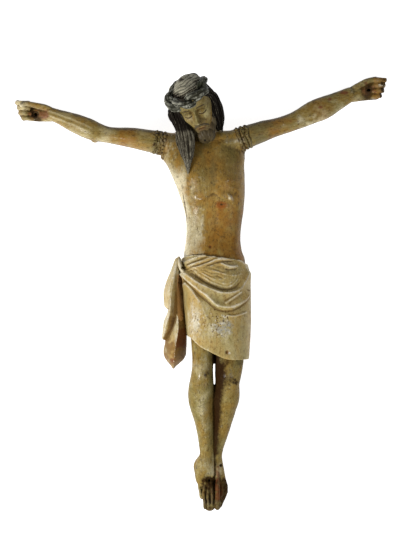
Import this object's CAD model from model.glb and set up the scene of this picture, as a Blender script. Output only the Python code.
# A carved and painted wooden corpus figure, laid on its back on a pale floor and seen from straight above.
# Lengths in the tables are millimetres, as the carver's drawing gives them, and meshes are made in metres.
import itertools
import math

import bpy
import numpy as np
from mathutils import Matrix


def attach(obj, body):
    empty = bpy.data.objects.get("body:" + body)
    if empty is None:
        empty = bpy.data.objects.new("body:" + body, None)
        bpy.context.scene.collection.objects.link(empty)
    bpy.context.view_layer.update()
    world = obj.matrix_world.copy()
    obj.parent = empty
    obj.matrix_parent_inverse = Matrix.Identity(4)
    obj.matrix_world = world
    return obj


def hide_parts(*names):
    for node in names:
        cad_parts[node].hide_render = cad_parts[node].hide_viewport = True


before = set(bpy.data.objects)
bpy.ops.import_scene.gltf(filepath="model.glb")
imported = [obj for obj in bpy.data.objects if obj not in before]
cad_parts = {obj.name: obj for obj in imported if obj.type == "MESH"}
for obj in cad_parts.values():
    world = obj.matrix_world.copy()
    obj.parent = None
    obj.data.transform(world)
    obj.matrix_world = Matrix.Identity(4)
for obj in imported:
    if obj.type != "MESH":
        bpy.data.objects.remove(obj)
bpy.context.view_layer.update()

# The studio: the camera looks straight down with a long lens, so that a millimetre on the figure is the same
# size at the head and at the feet. A broad soft light stands to the upper left, and a weaker one fills in
# from the right.
scene = bpy.context.scene
scene.view_settings.view_transform = "Standard"
middle_x, middle_y, middle_z, far = -0.0238, -0.0998, 0.035, 12.0
sensor, view_height = 36, 0.9867
lit_height = 0.05
camera_data = bpy.data.cameras.new("camera")
camera_data.lens = sensor * far / view_height
camera_data.clip_end = 200
camera = bpy.data.objects.new("camera", camera_data)
camera.location = (middle_x, middle_y, far + middle_z)
scene.collection.objects.link(camera)
scene.camera = camera


def soft_light(name, place, size, power, tint):
    """A square area light that faces the middle of the figure."""
    data = bpy.data.lights.new(name, "AREA")
    data.size, data.energy, data.color = size, power, tint
    light = bpy.data.objects.new(name, data)
    light.location = place
    aim = np.array([middle_x, middle_y, lit_height]) - np.array(place)
    level = math.hypot(aim[0], aim[1])
    light.rotation_euler = (math.atan2(level, -aim[2]), 0, math.atan2(aim[1], aim[0]) - math.pi / 2)
    light.visible_camera = False
    scene.collection.objects.link(light)


soft_light("key", (-1.6, -1.15, 1.65), 0.8, 70, (1.0, 0.98, 0.95))
soft_light("fill", (1.5, -1.0, 2.2), 1.6, 20, (0.98, 0.98, 1.0))
world = bpy.data.worlds.new("studio")
world.use_nodes = True
world.node_tree.nodes["Background"].inputs["Color"].default_value = (1.0, 1.0, 1.0, 1)
world.node_tree.nodes["Background"].inputs["Strength"].default_value = 0.26
scene.world = world

floor_data = bpy.data.meshes.new("floor")
floor_data.from_pydata([(-60, -60, 0), (60, -60, 0), (60, 60, 0), (-60, 60, 0)], [], [(0, 1, 2, 3)])
floor = bpy.data.objects.new("floor", floor_data)
floor.location.z = -0.0004
scene.collection.objects.link(floor)
floor_paper = bpy.data.materials.new("pale paper")
floor_paper.use_nodes = True
paper = floor_paper.node_tree.nodes["Principled BSDF"]
paper.inputs["Base Color"].default_value = (0.66, 0.66, 0.67, 1)
paper.inputs["Roughness"].default_value = 0.9
paper.inputs["Emission Color"].default_value = (1, 1, 1, 1)
paper.inputs["Emission Strength"].default_value = 0.88
floor_data.materials.append(floor_paper)


# The trunk: ribcage, sunken belly and neck of one block of limewood, with the shoulders ending in flat faces
# that the arms were glued to. Those joints were filled with gesso, which has cracked and crumbled.
def through(rows):
    """The smooth line through a table's rows: cubic spans, each row's slope that of the chord beside it."""
    rows = np.array(rows, float)
    rows = rows if rows[0, 0] < rows[-1, 0] else rows[::-1]
    place, value = rows[:, 0], rows[:, 1:]
    slope = np.empty_like(value)
    slope[1:-1] = (value[2:] - value[:-2]) / (place[2:] - place[:-2])[:, None]
    slope[0], slope[-1] = [(value[i + 1] - value[i]) / (place[i + 1] - place[i]) for i in (0, len(rows) - 2)]

    def at(where):
        where = np.clip(np.asarray(where, float), place[0], place[-1])
        i = np.clip(np.searchsorted(place, where, side="right") - 1, 0, len(place) - 2)
        span = (place[i + 1] - place[i])[..., None]
        t = (where - place[i])[..., None] / span
        rise, start, end = value[i + 1] - value[i], slope[i] * span, slope[i + 1] * span
        return value[i] + t * (start + t * (3 * rise - 2 * start - end + t * (start + end - 2 * rise)))

    return at


def bump(distance, width):
    """A soft hill: e to the minus square of the distance over the width."""
    return np.exp(-((distance / width) ** 2))


def ramp(value, low, high):
    """0 below low, 1 above high, with a smooth cubic between."""
    t = np.clip((value - low) / (high - low), 0, 1)
    return t * t * (3 - 2 * t)


def power(value, exponent):
    """The size of a value to a power, with the value's sign."""
    return np.sign(value) * np.abs(value) ** exponent


def gouged(phase, sharpness=0.6):
    """Grooves side by side, 0 in the cut and 1 on the ridge: the size of the phase's cosine, to a power."""
    return np.abs(np.cos(phase)) ** sharpness


def shell(rings):
    """A closed skin of four-cornered faces over a stack of rings, with a point in the middle of each end."""
    rings = np.concatenate([rings[:1].mean(1, keepdims=True).repeat(rings.shape[1], 1), rings,
                            rings[-1:].mean(1, keepdims=True).repeat(rings.shape[1], 1)])
    levels, sides = rings.shape[:2]
    a = np.arange((levels - 1) * sides).reshape(levels - 1, sides)
    b = np.roll(a, -1, axis=1)
    return rings.reshape(-1, 3), np.stack([a, b, b + sides, a + sides], -1).reshape(-1, 4)


def way_along(points, shares):
    """Places and directions at shares of the length of a centripetal Catmull-Rom line through the points."""
    p = np.array(points, float)
    p = np.vstack([2 * p[0] - p[1], p, 2 * p[-1] - p[-2]])
    knot = np.r_[0.0, np.cumsum(np.linalg.norm(np.diff(p, axis=0), axis=1) ** 0.5)]
    cuts = 50
    i = np.repeat(np.arange(1, len(p) - 2), cuts)
    t = knot[i] + np.tile(np.arange(cuts) / cuts, len(p) - 3) * (knot[i + 1] - knot[i])
    i, t = np.r_[i, i[-1]], np.r_[t, knot[-2]]

    def mix(a, b, low, high):
        return ((high - t) / (high - low))[:, None] * a + ((t - low) / (high - low))[:, None] * b

    k0, k1, k2, k3 = (knot[i + n] for n in (-1, 0, 1, 2))
    a1, a2, a3 = (mix(p[i + n], p[i + n + 1], knot[i + n], knot[i + n + 1]) for n in (-1, 0, 1))
    line = mix(mix(a1, a2, k0, k2), mix(a2, a3, k1, k3), k1, k2)
    length = np.r_[0.0, np.cumsum(np.linalg.norm(np.diff(line, axis=0), axis=1))]

    def at(where):
        return np.stack([np.interp(where, length, line[:, c]) for c in range(3)], -1)

    where, step = np.asarray(shares) * length[-1], 0.6
    way = at(np.clip(where + step, 0, length[-1])) - at(np.clip(where - step, 0, length[-1]))
    return at(where), way / np.linalg.norm(way, axis=1, keepdims=True)


def member(points, sections, sides=40, steps=60, ends=(True, True), upright=(0, 0, 1), bend=None, keel=1.0,
           flutes=0, groove=0.0, turns=0.0):
    """A rounded profile carried along a smooth line. Each section row is a share of the way, a half-width and
    a half-depth. Rounded ends are half ellipsoids. keel over 1 sharpens the profile into ridges; flutes cut
    that many grooves along it, turned round it by turns."""
    cap = np.radians([78, 62, 46, 30, 14])
    share = np.linspace(0, 1, steps + 1)
    shrink, shift = np.ones(steps + 1), np.zeros(steps + 1)
    if ends[0]:
        share, shrink, shift = np.r_[0 * cap, share], np.r_[np.cos(cap), shrink], np.r_[-np.sin(cap), shift]
    if ends[1]:
        cap = cap[::-1]
        share, shrink = np.r_[share, 0 * cap + 1], np.r_[shrink, np.cos(cap)]
        shift = np.r_[shift, np.sin(cap)]
    centre, way = way_along(points, share)
    size = through(sections)(share)
    centre = centre + way * (shift * size.min(1))[:, None]
    if bend is None:
        deep = np.array(upright, float) - way * (way @ np.array(upright, float))[:, None]
    else:
        deep = np.cross(np.array(bend, float), way)
    deep /= np.linalg.norm(deep, axis=1, keepdims=True)
    wide = np.cross(deep, way)
    angle = np.linspace(0, 2 * np.pi, sides, endpoint=False)
    cut = 0
    if flutes:
        phase = flutes * (angle[None] + 2 * np.pi * turns * share[:, None]) / 2
        cut = groove * (gouged(phase, 0.55) - 1) * shrink[:, None]
    across = (size[:, :1] * shrink[:, None] + cut) * power(np.cos(angle), keel)
    along = (size[:, 1:] * shrink[:, None] + cut) * power(np.sin(angle), keel)
    return shell(centre[:, None] + wide[:, None] * across[..., None] + deep[:, None] * along[..., None])


def mesh_of(name, points, quads):
    """A mesh of four-cornered faces, its points given in millimetres."""
    data = bpy.data.meshes.new(name)
    data.vertices.add(len(points))
    data.vertices.foreach_set("co", (points / 1000).astype(np.float32).ravel())
    data.loops.add(quads.size)
    data.loops.foreach_set("vertex_index", quads.astype(np.int32).ravel())
    data.polygons.add(len(quads))
    data.polygons.foreach_set("loop_start", np.arange(0, quads.size, 4, dtype=np.int32))
    data.update(calc_edges=True)
    data.validate()
    return data


def carved(forms, grain):
    """The one outer skin round overlapping closed forms, as an even net of squares grain millimetres wide."""
    first = np.cumsum([0] + [len(points) for points, _ in forms])
    points = np.concatenate([points for points, _ in forms])
    quads = np.concatenate([quads + start for (_, quads), start in zip(forms, first)])
    block = bpy.data.objects.new("block", mesh_of("block", points, quads))
    scene.collection.objects.link(block)
    remesh = block.modifiers.new("remesh", "REMESH")
    remesh.mode, remesh.voxel_size = "VOXEL", grain / 1000
    made = bpy.data.meshes.new_from_object(block.evaluated_get(bpy.context.evaluated_depsgraph_get()))
    points, quads = np.empty(len(made.vertices) * 3), np.empty(len(made.loops), np.int32)
    made.vertices.foreach_get("co", points)
    made.loops.foreach_get("vertex_index", quads)
    source = block.data
    bpy.data.objects.remove(block)
    bpy.data.meshes.remove(source)
    bpy.data.meshes.remove(made)
    return points.reshape(-1, 3) * 1000, quads.reshape(-1, 4)


class Net:
    """The points and faces of a carved skin, with the work a carver's file does on it."""

    def __init__(self, points, quads):
        self.points, self.quads = points, quads
        pair = np.sort(np.vstack([quads[:, [i, (i + 1) % 4]] for i in range(4)]), axis=1)
        key = np.unique(pair[:, 0].astype(np.int64) * len(points) + pair[:, 1])
        self.a, self.b = key // len(points), key % len(points)
        self.count = np.bincount(self.a, minlength=len(points)) + np.bincount(self.b, minlength=len(points))

    def beside(self, values):
        """The mean of each point's neighbours."""
        columns = []
        for v in values.T:
            total = np.bincount(self.a, v[self.b], len(v)) + np.bincount(self.b, v[self.a], len(v))
            columns.append(total / np.maximum(self.count, 1))
        return np.stack(columns, -1)

    def soften(self, rounds, where=1.0):
        """Moves each point towards the mean of its neighbours, as far as where says."""
        weight = 0.6 * np.broadcast_to(where, len(self.points))[:, None]
        for _ in range(rounds):
            self.points = self.points + weight * (self.beside(self.points) - self.points)

    def outward(self):
        """Directions that the skin faces: the mean of the cross products of its faces' diagonals."""
        q = self.points[self.quads]
        face = np.cross(q[:, 2] - q[:, 0], q[:, 3] - q[:, 1])
        total = np.stack([sum(np.bincount(self.quads[:, k], face[:, c], len(self.points)) for k in range(4))
                          for c in range(3)], -1)
        return total / np.maximum(np.linalg.norm(total, axis=1, keepdims=True), 1e-9)

    def raise_by(self, height):
        """Moves the skin out by a height, along directions smoothed over a few points."""
        way = self.outward()
        for _ in range(3):
            way = 0.5 * way + 0.5 * self.beside(way)
        self.points = self.points + way / np.linalg.norm(way, axis=1, keepdims=True) * height[:, None]

    def worn_and_hollow(self):
        """How far each point stands out of, or lies under, the mean surface around it, over small and large
        reaches, each as 0 to 1."""
        way, smooth, out = self.outward(), self.points, []
        for rounds, scale in ((4, 0.16), (26, 0.9)):
            for _ in range(rounds):
                smooth = smooth + 0.7 * (self.beside(smooth) - smooth)
            out.append(((self.points - smooth) * way).sum(1) / scale)
        both = 0.5 * out[0] + 0.5 * out[1]
        return np.clip(both, 0, 1), np.clip(-both, 0, 1)


def noise(points, size, seed=0):
    """Gradient noise from about -0.7 to 0.7: random slopes at the corners of a cubic lattice, blended
    smoothly."""
    p = points / size + 11.3 * seed
    cell = np.floor(p).astype(np.int64)
    f = p - cell
    u = f * f * f * (f * (f * 6 - 15) + 10)
    total = np.zeros(len(p))
    for corner in itertools.product((0, 1), repeat=3):
        c = cell + corner
        h = c[:, 0] * 73856093 ^ c[:, 1] * 19349663 ^ c[:, 2] * 83492791 ^ (seed + 7) * 2654435761
        h = h & 0xFFFFFFFF
        h = ((h ^ (h >> 15)) * 2246822519) & 0xFFFFFFFF
        h = ((h ^ (h >> 13)) * 3266489917) & 0xFFFFFFFF
        slope = np.stack([(h >> k & 1023) / 511.5 - 1 for k in (0, 10, 20)], -1)
        weight = np.where(corner, u, 1 - u).prod(1)
        total += weight * (slope * (f - corner)).sum(1)
    return total


def tool_marks(points):
    """The unevenness that gouge, gesso and age leave: waves some 15, 6 and 2.5 mm long."""
    return 0.45 * noise(points, 15, 1) + 0.28 * noise(points, 6, 2) + 0.14 * noise(points, 2.5, 3)


def finish_piece(name, net, node, material, triangles, sides=0.3, rub=1, **marks):
    """Makes a net into the object that stands for a node, thinned to a number of triangles at most. The marks
    say how stained each point is. Two more are added: hollow, which is raised on the sides because they were
    never wiped, and worn, which rub lessens."""
    net.points[:, 2] = np.maximum(net.points[:, 2], 0)
    data = mesh_of(name, net.points, net.quads)
    worn, hollow = net.worn_and_hollow()
    marks["hollow"] = hollow + sides * ramp(-net.outward()[:, 2], -0.6, -0.05)
    marks["worn"] = worn * rub
    for mark, values in marks.items():
        data.attributes.new(mark, "FLOAT", "POINT").data.foreach_set("value", values.astype(np.float32))
    data.polygons.foreach_set("use_smooth", np.ones(len(data.polygons), bool))
    data.materials.append(material)
    piece = bpy.data.objects.new(name, data)
    scene.collection.objects.link(piece)
    piece.modifiers.new("thinned", "DECIMATE").ratio = min(1, triangles / (2 * len(net.quads)))
    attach(piece, "root")
    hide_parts(node)


class Paint:
    """A socket of a material. Sums, differences and products add Math nodes, and node adds any other."""

    def __init__(self, tree, socket):
        self.tree, self.socket = tree, socket

    def node(self, kind, settings=None, out=0, **inputs):
        """Adds a node: settings first, then the values or links of its sockets, named with _ for a space."""
        made = self.tree.nodes.new("ShaderNode" + kind)
        for key, value in (settings or {}).items():
            setattr(made, key, value)
        for key, value in inputs.items():
            key = int(key[1:]) if key[0] == "_" else key.replace("_", " ")
            if isinstance(value, Paint):
                self.tree.links.new(value.socket, made.inputs[key])
            else:
                made.inputs[key].default_value = value
        return Paint(self.tree, made.outputs[out])

    def _math(self, operation, first, second):
        return self.node("Math", {"operation": operation}, _0=first, _1=second)

    def __add__(self, other):
        return self._math("ADD", self, other)

    def __sub__(self, other):
        return self._math("SUBTRACT", self, other)

    def __rsub__(self, other):
        return self._math("SUBTRACT", other, self)

    def __mul__(self, other):
        return self._math("MULTIPLY", self, other)

    __radd__, __rmul__ = __add__, __mul__

    def between(self, low, high):
        """0 at low and 1 at high, held there beyond, with a smooth cubic between."""
        return self.node("MapRange", {"interpolation_type": "SMOOTHSTEP"},
                         Value=self, From_Min=low, From_Max=high)

    def over(self, below, above):
        """The colour above laid over the colour below, as far as this value says."""
        return self.node("Mix", {"data_type": "RGBA"}, 2, _0=self, _6=below, _7=above)


def old_paint(name, warm, cool, light, pale, dirt, gloss=0.34, crackle=0.5, wear=0.5, seed=0.0,
              grain=(1.0, 0.22, 1.0), sheen=0.14, sooty=0.8, flecks=0.7, flaked=0.7, extra=()):
    """Aged paint on gesso on wood. The colour wanders between warm, cool and light in soft patches, goes pale
    where marks say it was cleaned or worn, brown in hollows and in streaks along the grain of the wood, shows
    gesso where it has flaked, and has fine crackle. extra lists stains, each a mark, a colour and a strength;
    the mark shine is varnish."""
    material = bpy.data.materials.new(name)
    material.use_nodes = True
    tree = material.node_tree
    shader = tree.nodes["Principled BSDF"]
    start = Paint(tree, None)
    place = start.node("TexCoord", out=3)
    place = start.node("Mapping", Vector=place, Location=(seed, seed * 0.7, seed * 0.3))

    def cloud(scale, detail=3.0, rough=0.6, lean=None):
        where = place if lean is None else start.node("Mapping", Vector=place, Scale=lean)
        return start.node("TexNoise", Vector=where, Scale=scale, Detail=detail, Roughness=rough)

    def mark(attribute):
        return start.node("Attribute", {"attribute_name": attribute}, 2)

    drawn = tuple(g ** 0.5 for g in grain)
    broad, middling = cloud(22.0, 4.0, lean=drawn), cloud(60.0, 4.0, lean=drawn)
    fine, grit = cloud(170.0, 5.0, 0.7), cloud(520.0, 2.0)
    streak = cloud(420.0, 3.0, 0.7, grain)
    worn, hollow, bare = mark("worn"), mark("hollow"), mark("pale")
    tone = broad * 0.65 + middling * 0.35
    colour = tone.between(0.38, 0.62).over((*warm, 1), (*cool, 1))
    lighter = (middling * 0.7 + fine * 0.3).between(0.45, 0.64)
    colour = (lighter * 0.55).over(colour, (*light, 1))
    clean = (bare + middling * 0.9 + fine * 0.7 - 0.8).between(0.1, 0.9)
    colour = (clean * 0.9).over(colour, (*pale, 1))
    rubbed = (worn * 0.8 + fine * 1.6 + middling * 0.8 - 1.25).between(0.1, 0.9)
    colour = (rubbed * wear).over(colour, (*pale, 1))
    fleck = fine * 0.38 + streak * 0.42 + grit * 0.2
    colour = ((1 - fleck).between(0.52, 0.62) * flecks * 0.6).over(colour, (*light, 1))
    rough = fine * 0.3 + middling * 0.15 + (gloss - 0.22)
    for stain, tint, strength in extra:
        spread = (mark(stain) + fine * 0.8 - 0.4).between(0.2, 0.8)
        colour = (spread * strength).over(colour, (*tint, 1))
        if stain in ("soot", "shade"):
            rough = rough + spread * 0.35
    colour = (fleck.between(0.50, 0.62) * flecks).over(colour, (*dirt, 1))
    speck = (fine * 0.5 + streak * 0.3 + grit * 0.3).between(0.60, 0.74)
    colour = (speck * 0.4).over(colour, (*dirt, 1))
    lost = (middling * 0.4 + fine * 0.4 + worn * 0.2 + grit * 0.2).between(0.69, 0.72)
    colour = (lost * flaked).over(colour, (0.62, 0.55, 0.40, 1))
    cells = start.node("TexVoronoi", {"feature": "DISTANCE_TO_EDGE"}, Vector=place, Scale=210.0)
    crack = (1 - cells.between(0.0, 0.05)) * (broad + fine - 0.45).between(0.3, 0.7)
    colour = (crack * crackle).over(colour, (*dirt, 1))
    sunk = (hollow + fine * 0.6 - 0.3).between(0.05, 0.9)
    colour = (sunk * sooty).over(colour, (*dirt, 1))
    tree.links.new(colour.socket, shader.inputs["Base Color"])
    rough = rough + lost * 0.2 + sunk * 0.3
    tree.links.new(rough.socket, shader.inputs["Roughness"])
    relief = fine * 0.5 + grit * 0.35 - crack * 0.5 * crackle - lost * 0.4
    lumps = start.node("Bump", Strength=0.35, Distance=0.0012, Height=relief)
    tree.links.new(lumps.socket, shader.inputs["Normal"])
    shader.inputs["Specular IOR Level"].default_value = sheen
    tree.links.new((mark("shine") * (fine * 1.4 + 0.2)).socket, shader.inputs["Coat Weight"])
    shader.inputs["Coat Roughness"].default_value = 0.13
    return material


trunk_at = through([  # the height up the body, then the body's left edge, right edge, back and front
    [154, -66, 22, 16, 48], [140, -86, 46, 8, 58], [124, -94, 55, 2, 68], [106, -94, 58, -2, 76],
    [90, -84, 57, -3, 82], [66, -73, 58, -4, 86], [38, -62, 58, -4, 86], [10, -53, 56, -3, 80],
    [-18, -49, 52, -2, 73], [-44, -49.5, 50, -2, 72], [-66, -53, 53, -3, 76], [-80, -54, 58, -4, 79],
    [-104, -54, 60, -4, 82]])
squareness = 0.86  # the exponent that makes an oval section a little boxy


def middle_line(y):
    """The line down the middle of the body, which sways to the figure's left below the chest."""
    return -4 + 8 * ramp(-y, -90, 0)


def rib_arch(off):
    """The height at which the ribs end over the belly: a low round arch with a peak in the middle."""
    return 30 + 12 * bump(off, 13) - 0.006 * off ** 2


def trunk_forms(x, y):
    """Heights on the front: breasts, the arch of the ribs over a sunken belly, a groove down the middle."""
    off = x - middle_line(y)
    arch = rib_arch(off)
    belly = ramp(arch - y, -4, 5) * bump(y + 12, 46)
    breasts = 3.2 * bump(np.abs(off) - 27, 20) * bump(y - 66, 22)
    groove = -2.4 * bump(off, 8) * ramp(y, 20, 50)
    belly_line = -1.4 * bump(off, 5) * bump(y + 8, 34)
    edge = 1.6 * bump(y - arch - 5, 7) * bump(off, 34)
    return breasts + groove + belly_line + edge - 6 * belly * bump(off, 36)


y = np.linspace(154, -104, 150)[:, None]
angle = np.linspace(0, 2 * np.pi, 200, endpoint=False)[None]
left, right, back, front = np.moveaxis(trunk_at(y[:, 0]), -1, 0)[..., None]
x = (left + right) / 2 + (right - left) / 2 * power(np.cos(angle), squareness)
z = (back + front) / 2 + (front - back) / 2 * power(np.sin(angle), squareness)
z = z + np.maximum(np.sin(angle), 0) * trunk_forms(x, y)
trunk_block = shell(np.stack(np.broadcast_arrays(x, y, z), -1))

right_joint, left_joint = np.array([-98.0, 132, 42]), np.array([57.0, 141, 42])
right_way, left_way = np.array([-0.985, 0.174, 0]), np.array([0.94, 0.342, 0])
inside = 26  # how far from each joint the shoulders turn in to the chest
shoulder_bar = member(
    [right_joint, right_joint - inside * right_way, (-22, 136, 38), left_joint - inside * left_way,
     left_joint],
    [[0, 21.5, 19], [0.16, 22.5, 21], [0.5, 21.5, 19], [0.84, 22.5, 21], [1, 21.5, 19]], ends=(False, False))


def turned(lean, bow, turn=0):
    """The turn of what is drawn upright, in degrees: about its own height, then forward, then to one side."""
    lean, bow, turn = np.radians([lean, bow, turn])
    return (np.array([[math.cos(lean), -math.sin(lean), 0], [math.sin(lean), math.cos(lean), 0], [0, 0, 1]])
            @ np.array([[1, 0, 0], [0, math.cos(bow), -math.sin(bow)], [0, math.sin(bow), math.cos(bow)]])
            @ np.array([[math.cos(turn), 0, math.sin(turn)], [0, 1, 0],
                        [-math.sin(turn), 0, math.cos(turn)]]))


head_turned = turned(26, 26, -15)
head_place = np.array([-30.0, 200, 74])


def on_head(x, y, z):
    """A place given on the upright head, as it lies on the head bowed over the figure's right shoulder."""
    return np.array([x, y, z], float) @ head_turned.T + head_place


neck = member([(-14, 128, 38), (-16, 152, 46), on_head(0, -18, -10)],
              [[0, 30, 24], [0.5, 21, 21], [1, 20, 20]])
trunk = Net(*carved([trunk_block, shoulder_bar, neck], 1.1))
x, y, z = trunk.points.T
trunk.soften(3)
trunk.soften(14, ramp(y, 104, 120) * ramp(np.abs((trunk.points - right_joint) @ right_way), 4, 12)
             * ramp(np.abs((trunk.points - left_joint) @ left_way), 4, 12))


def beside_joint(points, joint, way):
    """How near a point is to a glued joint: 1 at the joint and 0 some 14 mm away, with a ragged edge."""
    off = np.abs((points - joint) @ way) + 5 * noise(points, 9, 5)
    near = np.linalg.norm(points - joint, axis=1) < 45
    return ramp(-off, -14, -8) * near


def crumbled(points, joint, way, rope):
    """The gesso over a joint: a thick rough band, in ridges rope millimetres high, that has split across."""
    band = beside_joint(points, joint, way)
    off = (points - joint) @ way + 3.5 * noise(points, 12, 9)
    ridges = gouged(np.pi * off / 8.4) - 0.75
    rough = 1.6 * noise(points, 5, 6) + 1.0 * noise(points, 2.4, 8)
    split = -1.8 * bump(noise(points, 9, 10), 0.05)
    return band * (0.7 + rough + split + rope * ridges * ramp(noise(points, 18, 14), -0.6, -0.1))


def beside_line(x, y, places):
    """The distance of each point from a smooth line in the plane, positive on the left hand, and its share
    along it."""
    line = way_along([(*place, 0) for place in places], np.linspace(0, 1, 48))[0][:, :2]
    best, side, share = np.full(len(x), 1e9), np.zeros(len(x)), np.zeros(len(x))
    for k, (start, end) in enumerate(zip(line[:-1], line[1:])):
        run = end - start
        t = np.clip(((x - start[0]) * run[0] + (y - start[1]) * run[1]) / (run @ run), 0, 1)
        dx, dy = x - start[0] - t * run[0], y - start[1] - t * run[1]
        far_off = np.hypot(dx, dy)
        closer = far_off < best
        best = np.where(closer, far_off, best)
        side = np.where(closer, run[0] * dy - run[1] * dx, side)
        share = np.where(closer, (k + t) / (len(line) - 1), share)
    return np.copysign(best, side), share


def spots(x, y, *rows):
    """The sum of soft oval spots. Each row is a strength, a place, a half-width and, if it isn't round, a
    half-height."""
    total = 0
    for strength, at_x, at_y, wide, *high in rows:
        total = total + strength * bump(x - at_x, wide) * bump(y - at_y, *(high or [wide]))
    return total


right_ridges, left_ridges = 1.8, 3.8  # how high the gesso stands at each shoulder
wound_x, wound_y = 15.4, 18.7
navel = (-5, -58)
x, y, z = trunk.points.T
facing = np.clip(trunk.outward()[:, 2], 0, 1)
off = x - middle_line(y)
side = np.abs(off)
arch = rib_arch(off)
collar = 126 + 0.16 * side
rib = y + 0.32 * side
# Breasts with the hollow under them, the breastbone, the collarbones, the edge of the ribs and two rib ends
# that stand out, the ribs at the sides, the step down the belly, nipples, navel and wound.
relief = facing * (
    1.6 * bump(side - 27, 19) * bump(y - 72, 26)
    - 0.7 * bump(side - 26, 20) * bump(y - 46 + 0.012 * (side - 26) ** 2, 7)
    + bump(off, 6) * ramp(y, 30, 50) * ramp(-y, -128, -112)
    + 1.1 * bump(y - collar, 5) * ramp(side, 8, 15) * ramp(-side, -56, -44)
    - 1.2 * bump(y - collar - 9, 7) * ramp(side, 6, 14) * ramp(-side, -50, -36)
    + 0.9 * bump(y - arch - 1, 2.8) * bump(off, 18) - 0.5 * bump(y - arch + 6, 4) * bump(off, 22)
    + 3.6 * bump(np.hypot((0.61 * (x - 31) - 0.79 * (y - 31)) / 2.2, 0.79 * (x - 31) + 0.61 * (y - 31)), 3.2)
    + 0.45 * np.cos(2 * np.pi * rib / 15) * ramp(side, 24, 36) * bump(y - 40, 40)
    + 0.7 * ramp(-x, 6.5, 14) * ramp(-y, 18, 36) * bump(x + 10, 26) * ramp(y, -84, -60)
    + spots(x, y, (1.5, -25, 29, 7.8, 3), (0.7, 27, 62, 2), (0.7, -38, 66, 2), (-1.3, *navel, 3.4),
            (-1.4, wound_x, wound_y, 3.6, 2.4)))
# A crack from drying runs down the right side of the chest, and the gesso at both shoulders has crumbled.
crack, crack_share = beside_line(x, y, [(-55.5, 40), (-53.5, 24), (-50.5, 6), (-47.6, -14)])
crack = np.abs(crack + 0.8 * noise(trunk.points, 9, 4)) + 30 * ramp(-z, -34, -20)
crack_ends = bump(crack_share - 0.5, 0.5)
relief += -1.8 * bump(crack, 1.1) * crack_ends * ramp(z, 20, 34)
relief += tool_marks(trunk.points) + crumbled(trunk.points, right_joint, right_way, right_ridges)
relief += crumbled(trunk.points, left_joint, left_way, left_ridges)
trunk.raise_by(relief)
for joint, way in ((right_joint, right_way), (left_joint, left_way)):
    past = np.maximum((trunk.points - joint) @ way, 0)
    trunk.points -= past[:, None] * way

flesh_dirt = (0.06, 0.033, 0.007)
flesh = old_paint(
    "flesh paint", (0.265, 0.143, 0.026), (0.165, 0.124, 0.033), (0.35, 0.245, 0.075), (0.62, 0.56, 0.38),
    flesh_dirt, flecks=0.75,
    extra=[("ochre", (0.21, 0.088, 0.009), 0.65), ("blood", (0.22, 0.062, 0.007), 0.9),
           ("olive", (0.105, 0.088, 0.036), 0.6), ("grime", (0.26, 0.25, 0.20), 0.5),
           ("soot", (0.03, 0.015, 0.005), 0.9)])
# The figure's right side was cleaned once and is pale up to a ragged line down the belly. The other side is a
# deep ochre, the breastbone is olive, and the glossiest places are where the ribs stand out.
x, y, z = trunk.points.T
joints = np.maximum(beside_joint(trunk.points, right_joint, right_way),
                    beside_joint(trunk.points, left_joint, left_way))
lower = ramp(y, -34, -8)
edge_off = (-x - 12 + 9 * noise(trunk.points, 14, 12) + 6 * noise(trunk.points, 5, 13)) / (4 + 22 * lower)
cleaned = ramp(edge_off, -1, 1) * ramp(-y + 26 * noise(trunk.points, 13, 54), -44, 12)
cleaned += 0.5 * bump(x + 18.3 - 0.1 * y, 2.4) * bump(y + 10, 26) * (0.6 + noise(trunk.points, 6, 15))
finish_piece(
    "trunk", trunk, "body", flesh, triangles=150000,
    sides=0.15 + 0.5 * ramp(x, 0, 40),
    pale=0.5 * cleaned + 0.85 * ramp(-x, 40, 60) * ramp(-y, -112, -60) - 0.3 * joints - 0.08
    - 0.45 * ramp(x + 14 * noise(trunk.points, 14, 48), -30, 14) - 0.5 * ramp(x, -4, 10) * ramp(-y, 0, 20)
    - 0.28 * bump(x + 27 - 0.1 * y, 6) * bump(y + 8, 24) + 0.35 * bump(y - arch - 1, 2.4) * bump(off, 16)
    + (0.32 + 0.6 * noise(trunk.points, 6, 51)) * spots(x, y, (1, -80, 122, 22))
    + spots(x, y, (0.5, -25, 29, 9.1, 3.5), (1.3, 30, 30, 4), (0.2, -36, -34, 12, 34), (0.5, 30, 78, 16, 34),
            (0.3, -38, 58, 16, 34)),
    rub=(1 - 0.75 * joints) * (1 - 0.8 * bump(y - arch - 2, 7) * bump(off, 44)),
    ochre=(0.7 * ramp(-y, -24, 6) + 0.15) * (0.8 + 1.1 * noise(trunk.points, 15, 17))
    * ramp(x + 22 * noise(trunk.points, 14, 16), -13 - 9 * lower, -4 + 20 * lower)
    + spots(x, y, (0.3, -3, 96, 12), (0.35, 30, 78, 16, 32)),
    blood=spots(x, y, (1, 15, 17.5, 11.05, 8.5), (0.8, *navel, 4.5)),
    shine=spots(x, y, (0.9, -24, 29, 9.9, 4.5), (1.2, 30, 30, 8), (0.12, -31, 5, 9), (0.3, 30, 62, 8)),
    grime=0.5 * bump(y - 136, 8) * ramp(np.abs(x + 14), 24, 40) + spots(x, y, (0.35, -14, 123, 12, 8)),
    olive=0.9 * joints + spots(x, y, (0.55, 34, 128, 16), (0.8, 0.5, 76, 9, 38)),
    soot=0.9 * bump(crack, 1.2) * crack_ends + 0.8 * joints * ramp(noise(trunk.points, 5, 3), 0.08, 0.2)
    + spots(x, y, (0.9, wound_x, wound_y, 2.4)))


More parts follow.
